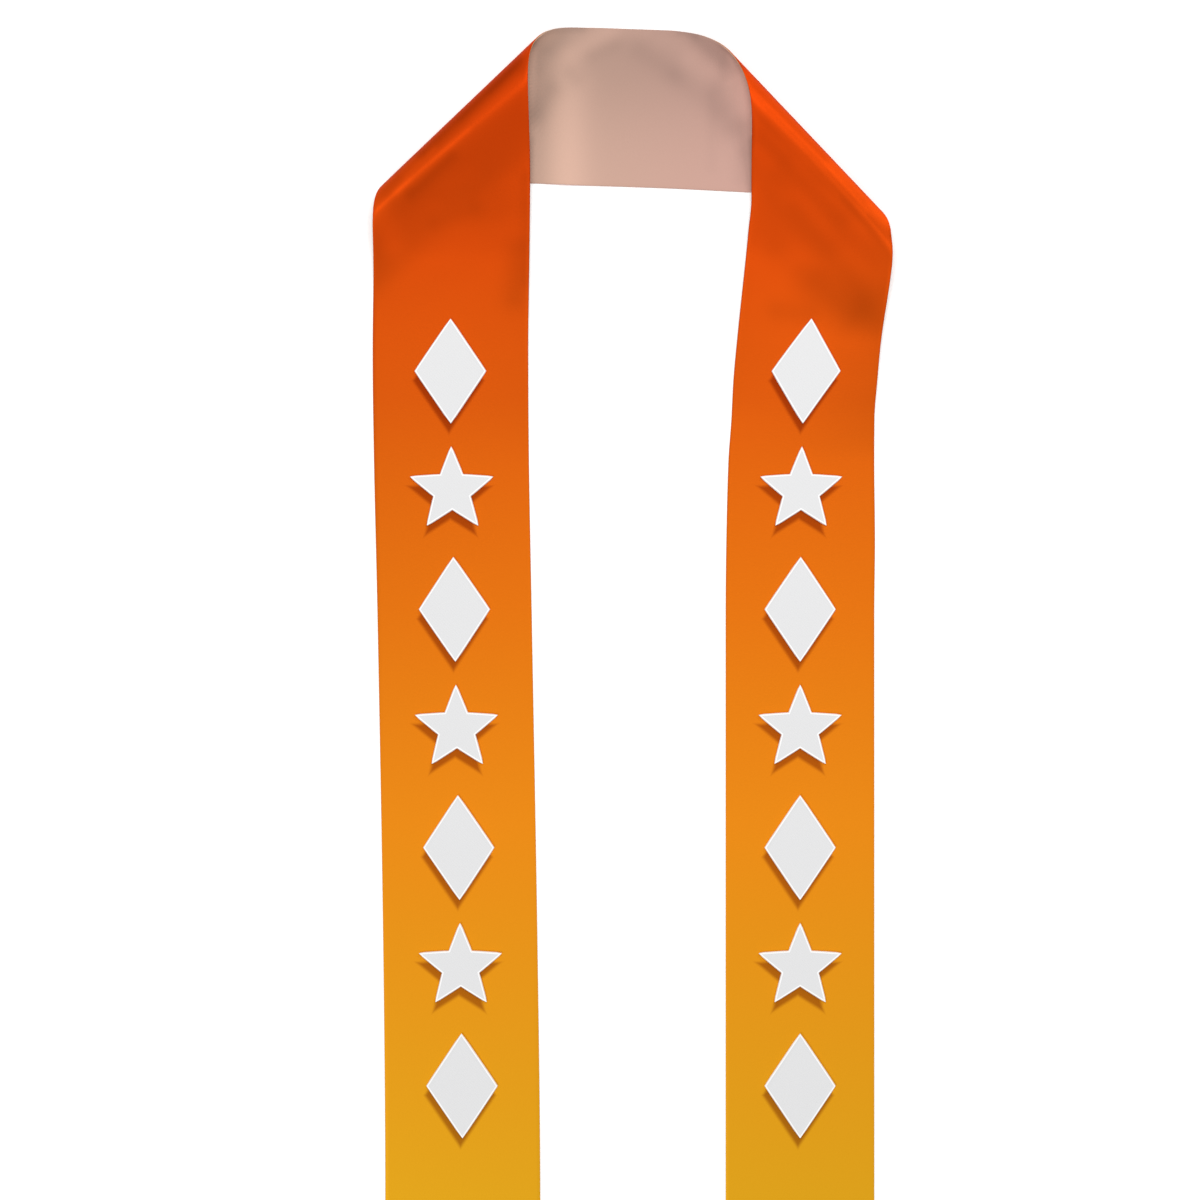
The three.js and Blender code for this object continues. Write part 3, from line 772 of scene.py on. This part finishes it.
def flat_shape(radii):
    """A shape lying flat at the origin, with its corners at these radii in turn from the top."""
    bpy.ops.object.select_all(action="DESELECT")
    bpy.ops.mesh.primitive_circle_add(
        vertices=len(radii), radius=1, fill_type="TRIFAN", location=(0, 0, 0)
    )
    shape = bpy.context.object
    for corner in shape.data.vertices:
        is_middle = corner.co.length < 0.5
        if not is_middle:
            turn = math.atan2(corner.co.x, corner.co.y)
            corner.co *= radii[round(turn / (2 * math.pi) * len(radii)) % len(radii)]
    shape.data.materials.append(white_twill)
    shape.data.materials.append(border_with_painted_highlight)
    bpy.ops.object.mode_set(mode="EDIT")
    bpy.ops.mesh.select_all(action="SELECT")
    bpy.ops.mesh.subdivide(number_cuts=CUTS_TO_BEND)
    shape.active_material_index = shape.data.materials.find(border_with_painted_highlight.name)
    bpy.ops.object.material_slot_assign()
    bpy.ops.mesh.inset(thickness=BORDER["width"], depth=-BORDER["height"])
    shape.active_material_index = shape.data.materials.find(white_twill.name)
    bpy.ops.object.material_slot_assign()
    bpy.ops.object.mode_set(mode="OBJECT")
    thick = shape.modifiers.new("thick", "SOLIDIFY")
    thick.thickness = SHAPE_THICKNESS
    thick.offset = -1
    bpy.ops.object.modifier_apply(modifier=thick.name)
    rounded = shape.modifiers.new("rounded", "BEVEL")
    rounded.width = CORNER_ROUND["width"]
    rounded.segments = CORNER_ROUND["steps"]
    rounded.limit_method = "ANGLE"
    rounded.angle_limit = CORNER_ROUND["sharper_than"]
    bpy.ops.object.modifier_apply(modifier=rounded.name)
    bpy.ops.object.shade_smooth_by_angle(angle=SMOOTH_UP_TO)
    return shape


flat_shapes = {
    "lozenge": flat_shape([LOZENGE["half_length"], LOZENGE["half_width"]] * 2),
    "star": flat_shape([STAR["tip"], STAR["notch"]] * STAR_POINTS),
}
for side, sideways_turn in (("left", -1), ("right", 1)):
    for k in range(SHAPES_ON_EACH_PANEL):
        kind = "lozenge" if k % 2 == 0 else "star"
        shape_from_end = FIRST_SHAPE + k * SHAPE_PITCH
        shape_along = shape_from_end if side == "left" else strip_length - shape_from_end
        shape_mesh = flat_shapes[kind].data.copy()
        x, y, z = np.array([corner.co for corner in shape_mesh.vertices]).T
        laid_places = cloth_point(
            shape_along - sideways_turn * y,
            sideways_turn * x,
            half_cloth + SHAPE_GAP + SHAPE_THICKNESS + z,
        )
        shape_mesh.vertices.foreach_set("co", laid_places.astype(np.float32).ravel())
        shape_name = f"{side}_{kind}_{k + 1}"
        raised_shape = bpy.data.objects.new(f"twill_{shape_name}", shape_mesh)
        bpy.context.scene.collection.objects.link(raised_shape)
        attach(raised_shape, "root")
        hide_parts(shape_name)
for flat in flat_shapes.values():
    bpy.data.objects.remove(flat)


# The light: a white room, a large soft lamp above the neck, a second one far off at the lower left,
# and a small one at the upper right that the right fold's outer side faces.
ROOM_WHITE = (1, 1, 1, 1)
ROOM_LIGHT = 0.44

world = bpy.data.worlds.new("white_room")
world.use_nodes = True
room_walls = world.node_tree.nodes["Background"]
room_walls.inputs["Color"].default_value = ROOM_WHITE
room_walls.inputs["Strength"].default_value = ROOM_LIGHT
bpy.context.scene.world = world


def soft_lamp(name, size, power, place, aim):
    """A square soft lamp that points from its place to its aim."""
    lamp = bpy.data.lights.new(name, "AREA")
    lamp.size = size
    lamp.energy = power
    stand = bpy.data.objects.new(name, lamp)
    stand.location = place
    stand.rotation_euler = (Vector(aim) - Vector(place)).to_track_quat("-Z", "Y").to_euler()
    bpy.context.scene.collection.objects.link(stand)


soft_lamp("overhead_lamp", size=1.3, power=31, place=(0.1, 1.0, 2.4), aim=(0, 0.1, 0))
soft_lamp("lower_lamp", size=1.2, power=40, place=(-1.4, -1.95, 2.9), aim=(0, 0, 0))
soft_lamp("right_lamp", size=0.6, power=6, place=(0.9, 1.1, 1.2), aim=(0.12, 0.3, 0))


# The camera: straight above, with the whole width of the stole in view and both free ends just cut
# off. The photograph is square, and the frame's origin shows in it at the pixel ORIGIN_ACROSS and
# ORIGIN_DOWN, a little off the middle.
PIXEL = 0.00071
PIXELS_ACROSS = 1200
MIDDLE_PIXEL = PIXELS_ACROSS / 2
ORIGIN_ACROSS, ORIGIN_DOWN = 631.3, 619.2
VIEW_ACROSS = PIXELS_ACROSS * PIXEL
VIEW_MIDDLE = ((MIDDLE_PIXEL - ORIGIN_ACROSS) * PIXEL, (ORIGIN_DOWN - MIDDLE_PIXEL) * PIXEL)
CAMERA_HEIGHT = 2.2
SENSOR_WIDTH = 36

lens = bpy.data.cameras.new("camera_above")
lens.sensor_fit = "HORIZONTAL"
lens.sensor_width = SENSOR_WIDTH
lens.lens = SENSOR_WIDTH * CAMERA_HEIGHT / VIEW_ACROSS
camera = bpy.data.objects.new("camera_above", lens)
camera.location = (*VIEW_MIDDLE, CAMERA_HEIGHT)
bpy.context.scene.collection.objects.link(camera)
bpy.context.scene.camera = camera
bpy.context.scene.view_settings.view_transform = "Standard"
